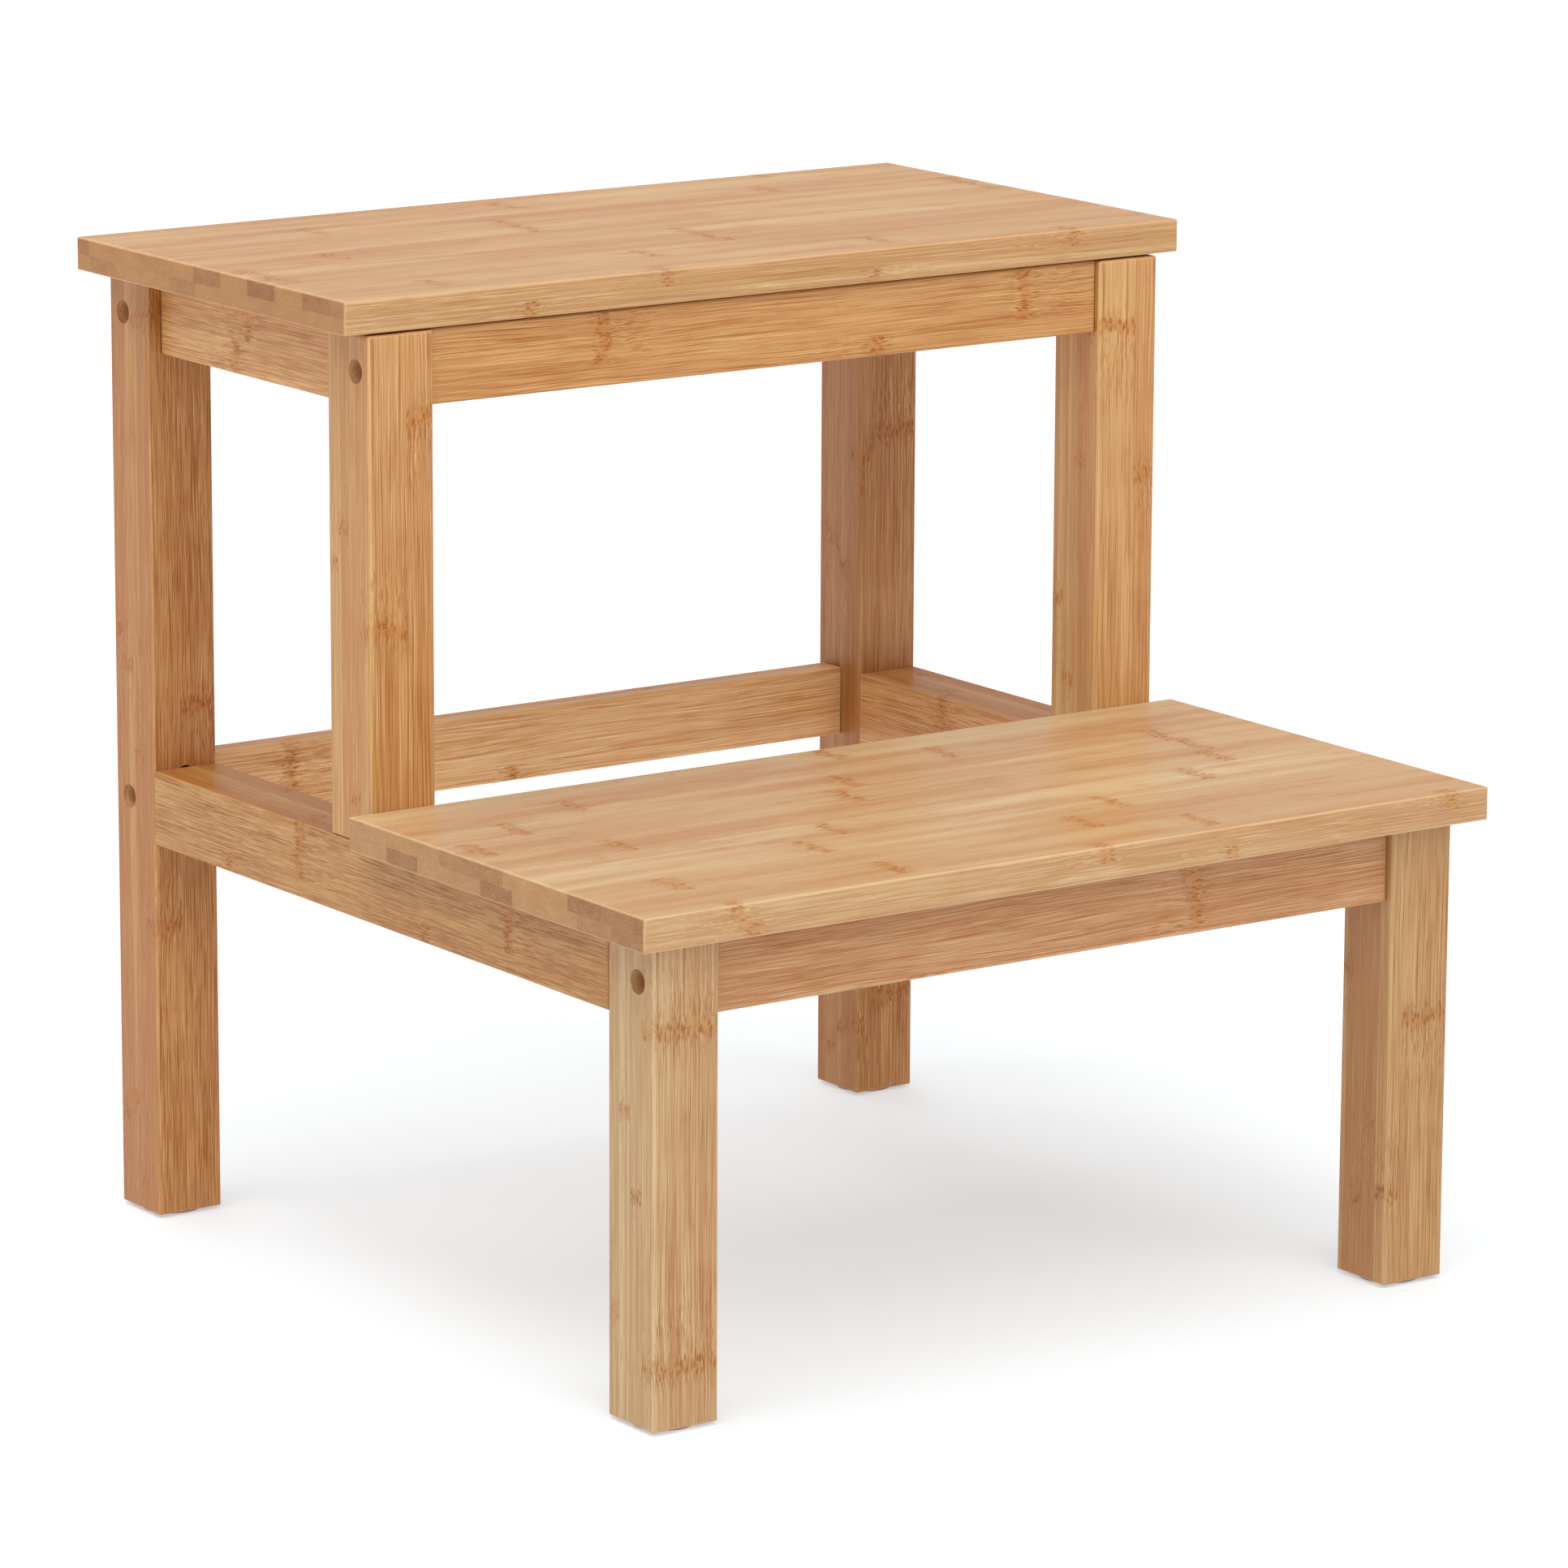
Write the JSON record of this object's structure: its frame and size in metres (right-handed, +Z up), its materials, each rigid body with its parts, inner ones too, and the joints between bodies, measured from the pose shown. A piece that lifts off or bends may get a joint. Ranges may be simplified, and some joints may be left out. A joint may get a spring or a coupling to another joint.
{
  "type": "step stool",
  "caption": "Low wooden step stool with two treads, square legs, side rails and thin aprons, built from glued laminated bamboo with bolted cross members.",
  "frame": {"origin": "on the floor, at the centre of the overall width and depth", "axes": "+X to the right of a person who faces the stool from the front, +Y towards the back (upper step), +Z up"},
  "size_m": [0.4, 0.407, 0.401],
  "materials": {
    "bamboo_tread": "satin clear lacquer over two plies of long-grain bamboo strips",
    "bamboo_frame": "satin clear lacquer over glued bamboo strips",
    "dowel_wood": "plain, unfinished",
    "zinc_steel": "zinc plated",
    "glide": "matt"
  },
  "bodies": {
    "root": {"upper_tread": "bamboo_tread", "lower_tread": "bamboo_tread", "rear_leg_left": "bamboo_frame", "rear_leg_right": "bamboo_frame", "middle_leg_left": "bamboo_frame", "middle_leg_right": "bamboo_frame", "front_leg_left": "bamboo_frame", "front_leg_right": "bamboo_frame", "side_rail_left": "bamboo_frame", "side_rail_right": "bamboo_frame", "upper_side_apron_left": "bamboo_frame", "upper_side_apron_right": "bamboo_frame", "upper_front_apron": "bamboo_frame", "upper_rear_apron": "bamboo_frame", "rear_rail": "bamboo_frame", "lower_front_apron": "bamboo_frame", "frame_bolts_left": "zinc_steel", "frame_bolts_right": "zinc_steel", "barrel_nuts_left": "zinc_steel", "barrel_nuts_right": "zinc_steel", "cross_dowels_left": "dowel_wood", "cross_dowels_right": "dowel_wood", "side_frame_dowels_left": "dowel_wood", "side_frame_dowels_right": "dowel_wood", "middle_leg_dowels": "dowel_wood", "upper_tread_screws": "zinc_steel", "lower_tread_screws": "zinc_steel", "foot_glide_front_left": "glide", "foot_glide_front_right": "glide", "foot_glide_rear_left": "glide", "foot_glide_rear_right": "glide"}
  },
  "joints": []
}
